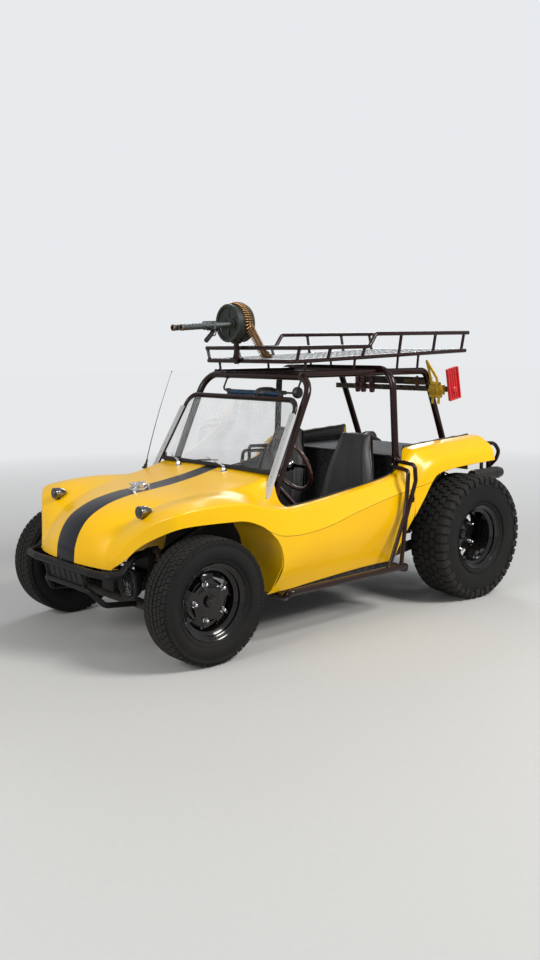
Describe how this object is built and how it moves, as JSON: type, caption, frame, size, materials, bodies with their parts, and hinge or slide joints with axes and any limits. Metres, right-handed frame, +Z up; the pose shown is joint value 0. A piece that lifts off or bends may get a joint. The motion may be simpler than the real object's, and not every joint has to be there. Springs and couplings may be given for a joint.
{
  "type": "dune buggy",
  "caption": "Dune buggy with a moulded body, tube roll cage, roof rack, open rear engine, twin-tube front axle, steering and turning wheels",
  "frame": {"origin": "on the ground at the middle of the vehicle's bounding box", "axes": "+X forward, +Y to the vehicle's left, +Z up"},
  "size_m": [3.176, 1.832, 1.917],
  "materials": {
    "body_paint": "gloss",
    "deck_black": "matt",
    "frame_paint": "satin",
    "glass_clear": "clear",
    "rubber_black": "matt",
    "plate_bright": "chequered",
    "drum_paint": "satin",
    "belt_brass": "satin",
    "jack_steel": "satin",
    "jack_yellow": "gloss",
    "jack_red": "gloss",
    "seat_vinyl": "satin",
    "mirror_dark": "matt",
    "engine_metal": "satin",
    "axle_black": "satin",
    "rim_wood": "gloss",
    "chrome_trim": "polished",
    "exhaust_steel": "dull",
    "lamp_red": "gloss",
    "tyre_black": "matt",
    "wheel_black": "gloss"
  },
  "bodies": {
    "car": {"hood_panel": "body_paint", "front_fenders": "body_paint", "cowl_panel": "body_paint", "side_panels": "body_paint", "rear_fenders": "body_paint", "front_bulkhead": "body_paint", "rear_bulkhead": "body_paint", "tail_panel": "body_paint", "rear_deck": "deck_black", "dash_panel": "deck_black", "floor_pan": "deck_black", "roll_cage": "frame_paint", "roof_rack": "frame_paint", "rocker_bars": "frame_paint", "side_braces": "frame_paint", "rear_guard": "frame_paint", "front_bumper": "frame_paint", "windscreen_frame": "frame_paint", "windscreen_glass": "glass_clear", "sill_bar": "rubber_black", "rack_floor": "plate_bright", "roof_drum": "drum_paint", "link_belt": "belt_brass", "jack_beam": "jack_steel", "jack_body": "jack_yellow", "jack_foot": "jack_red", "seats": "seat_vinyl", "mirror_bar": "mirror_dark", "gear_lever": "mirror_dark", "engine_block": "engine_metal", "rear_axle": "axle_black", "front_axle_beam": "axle_black", "steering_box": "axle_black", "steering_column": "axle_black", "dampers": "axle_black", "fuel_filler": "chrome_trim", "fender_lamps": "chrome_trim", "headlamps": "chrome_trim", "exhaust": "exhaust_steel", "tail_lamps": "lamp_red"},
    "front_wheel_l": {"front_tyre_left": "tyre_black", "front_wheel_left": "wheel_black"},
    "front_wheel_r": {"front_tyre_right": "tyre_black", "front_wheel_right": "wheel_black"},
    "rear_wheel_l": {"rear_tyre_left": "tyre_black", "rear_wheel_left": "wheel_black"},
    "rear_wheel_r": {"rear_tyre_right": "tyre_black", "rear_wheel_right": "wheel_black"},
    "steer_knuckle_l": {"knuckle_left": "axle_black"},
    "steer_knuckle_r": {"knuckle_right": "axle_black"},
    "drop_arm": {"pitman_arm": "axle_black"},
    "link_l": {"tie_rod_left": "axle_black"},
    "link_r": {"tie_rod_right": "axle_black"},
    "hand_wheel": {"steering_wheel": "rim_wood"},
    "filler_cap": {"fuel_lid": "chrome_trim"}
  },
  "joints": [
    {"name": "steer_left", "type": "hinge", "parent": "car", "child": "steer_knuckle_l", "pos_m": [1.125, 0.6, 0.34], "axis": [0, 0, 1], "range_deg": [-28, 28]},
    {"name": "steer_right", "type": "hinge", "parent": "car", "child": "steer_knuckle_r", "pos_m": [1.125, -0.6, 0.34], "axis": [0, 0, 1], "range_deg": [-28, 28]},
    {"name": "drop_arm_turn", "type": "hinge", "parent": "car", "child": "drop_arm", "pos_m": [1.15, 0.25, 0.38], "axis": [0, 0, 1], "range_deg": [-28, 28]},
    {"name": "link_left_turn", "type": "hinge", "parent": "drop_arm", "child": "link_l", "pos_m": [1.02, 0.25, 0.402], "axis": [0, 0, 1], "range_deg": [-28, 28]},
    {"name": "link_right_turn", "type": "hinge", "parent": "drop_arm", "child": "link_r", "pos_m": [1.02, 0.25, 0.358], "axis": [0, 0, 1], "range_deg": [-28, 28]},
    {"name": "hand_wheel_turn", "type": "hinge", "parent": "car", "child": "hand_wheel", "pos_m": [0.175, 0.33, 0.94], "axis": [-0.9135, 0.0277, 0.406], "range_deg": [-420, 420]},
    {"name": "roll_front_left", "type": "hinge", "parent": "steer_knuckle_l", "child": "front_wheel_l", "pos_m": [1.125, 0.72, 0.34], "axis": [0, 1, 0], "continuous": true},
    {"name": "roll_front_right", "type": "hinge", "parent": "steer_knuckle_r", "child": "front_wheel_r", "pos_m": [1.125, -0.72, 0.34], "axis": [0, 1, 0], "continuous": true},
    {"name": "roll_rear_left", "type": "hinge", "parent": "car", "child": "rear_wheel_l", "pos_m": [-0.975, 0.775, 0.403], "axis": [0, 1, 0], "continuous": true},
    {"name": "roll_rear_right", "type": "hinge", "parent": "car", "child": "rear_wheel_r", "pos_m": [-0.975, -0.775, 0.403], "axis": [0, 1, 0], "continuous": true},
    {"name": "filler_cap_lift", "type": "hinge", "parent": "car", "child": "filler_cap", "pos_m": [0.998, 0, 0.869], "axis": [0, -1, 0], "range_deg": [0, 110]}
  ],
  "couplings": [
    {"joint": "steer_right", "follows": "steer_left", "ratio": 1},
    {"joint": "drop_arm_turn", "follows": "steer_left", "ratio": 1},
    {"joint": "link_left_turn", "follows": "steer_left", "ratio": -1},
    {"joint": "link_right_turn", "follows": "steer_left", "ratio": -1},
    {"joint": "hand_wheel_turn", "follows": "steer_left", "ratio": 15}
  ]
}
